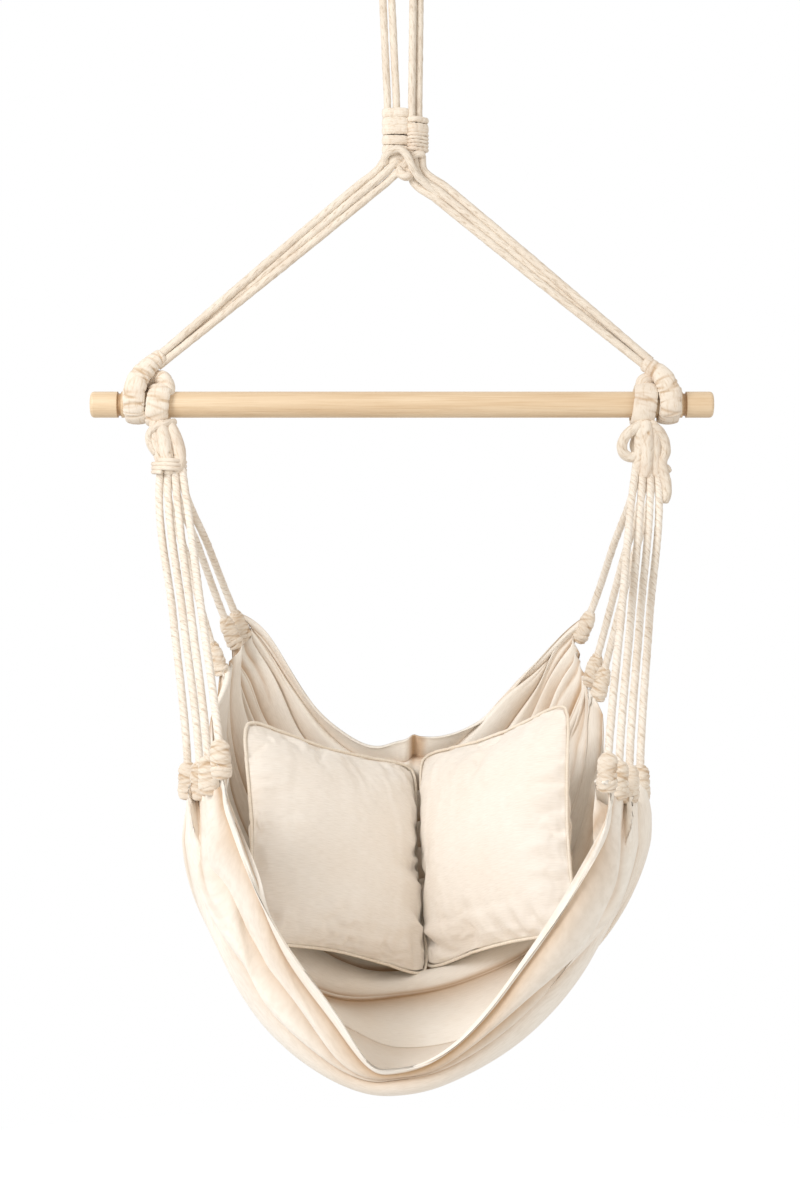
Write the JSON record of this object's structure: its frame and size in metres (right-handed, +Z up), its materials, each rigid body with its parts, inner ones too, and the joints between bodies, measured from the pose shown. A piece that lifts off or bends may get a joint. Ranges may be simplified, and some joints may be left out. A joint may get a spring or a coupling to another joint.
{
  "type": "hanging hammock chair",
  "caption": "Canvas sling seat with loose pillows, hung by gathered ropes from a round wooden spreader bar, a rope bridle and a steel hanging ring.",
  "frame": {"origin": "where a hook bears on the inside of the top of the hanging ring", "axes": "+Z up, X along the spreader bar, -Y the seat's open front"},
  "size_m": [1, 0.5583, 1.843],
  "materials": {
    "ring_steel": "plain bright steel",
    "bar_wood": "pale sanded hardwood with a clear matt finish",
    "main_rope": "natural cotton rope",
    "wrap_rope": "natural cotton rope, tightly wound",
    "seat_rope": "natural cotton rope",
    "sleeve_cotton": "gathered natural cotton",
    "seat_canvas": "natural cotton canvas",
    "pillow_canvas": "natural cotton canvas",
    "pillow_piping": "cotton piping",
    "pillow_filling": "white fibre filling"
  },
  "bodies": {
    "ring": {"hanging_ring": "ring_steel"},
    "hanger": {"apex_knot": "wrap_rope", "apex_wrap_left": "wrap_rope", "apex_wrap_right": "wrap_rope", "spreader_bar": "bar_wood", "hanger_loop_left": "main_rope", "hanger_loop_right": "main_rope", "bar_hitch_outer_left": "main_rope", "bridle_rope_left_1": "main_rope", "bridle_rope_left_2": "main_rope", "bridle_rope_left_3": "main_rope", "bar_hitch_outer_right": "main_rope", "bridle_rope_right_1": "main_rope", "bridle_rope_right_2": "main_rope", "bridle_rope_right_3": "main_rope"},
    "seat": {"bar_hitch_inner_left": "main_rope", "bar_hitch_inner_right": "main_rope", "neck_band_left": "wrap_rope", "neck_loop_left": "main_rope", "neck_loop_right_inner": "main_rope", "neck_loop_right_outer": "main_rope", "seat_cord_left_1": "seat_rope", "cord_sleeve_left_1": "sleeve_cotton", "seat_cord_left_2": "seat_rope", "cord_sleeve_left_2": "sleeve_cotton", "seat_cord_left_3": "seat_rope", "cord_sleeve_left_3": "sleeve_cotton", "seat_cord_left_4": "seat_rope", "cord_sleeve_left_4": "sleeve_cotton", "seat_cord_left_5": "seat_rope", "cord_sleeve_left_5": "sleeve_cotton", "seat_cord_left_6": "seat_rope", "cord_sleeve_left_6": "sleeve_cotton", "seat_cord_left_7": "seat_rope", "cord_sleeve_left_7": "sleeve_cotton", "seat_cord_right_1": "seat_rope", "cord_sleeve_right_1": "sleeve_cotton", "seat_cord_right_2": "seat_rope", "cord_sleeve_right_2": "sleeve_cotton", "seat_cord_right_3": "seat_rope", "cord_sleeve_right_3": "sleeve_cotton", "seat_cord_right_4": "seat_rope", "cord_sleeve_right_4": "sleeve_cotton", "seat_cord_right_5": "seat_rope", "cord_sleeve_right_5": "sleeve_cotton", "seat_cord_right_6": "seat_rope", "cord_sleeve_right_6": "sleeve_cotton", "seat_cord_right_7": "seat_rope", "cord_sleeve_right_7": "sleeve_cotton", "seat_sheet": "seat_canvas"},
    "pillow_left": {"pillow_left_cover": "pillow_canvas", "pillow_left_insert": "pillow_filling", "pillow_left_piping": "pillow_piping"},
    "pillow_right": {"pillow_right_cover": "pillow_canvas", "pillow_right_insert": "pillow_filling", "pillow_right_piping": "pillow_piping"}
  },
  "joints": [
    {"name": "swing_on_ring", "type": "hinge", "parent": "ring", "child": "hanger", "pos_m": [0, 0, -0.058], "axis": [1, 0, 0], "range_deg": [-30, 30]},
    {"name": "seat_tilt", "type": "hinge", "parent": "hanger", "child": "seat", "pos_m": [0, 0, -0.795], "axis": [1, 0, 0], "range_deg": [-20, 20]},
    {"name": "pillow_left_lift", "type": "slide", "parent": "seat", "child": "pillow_left", "axis": [0, -0.4104, 0.9119], "range_m": [0, 0.4]},
    {"name": "pillow_right_lift", "type": "slide", "parent": "seat", "child": "pillow_right", "axis": [0, -0.4104, 0.9119], "range_m": [0, 0.4]}
  ]
}
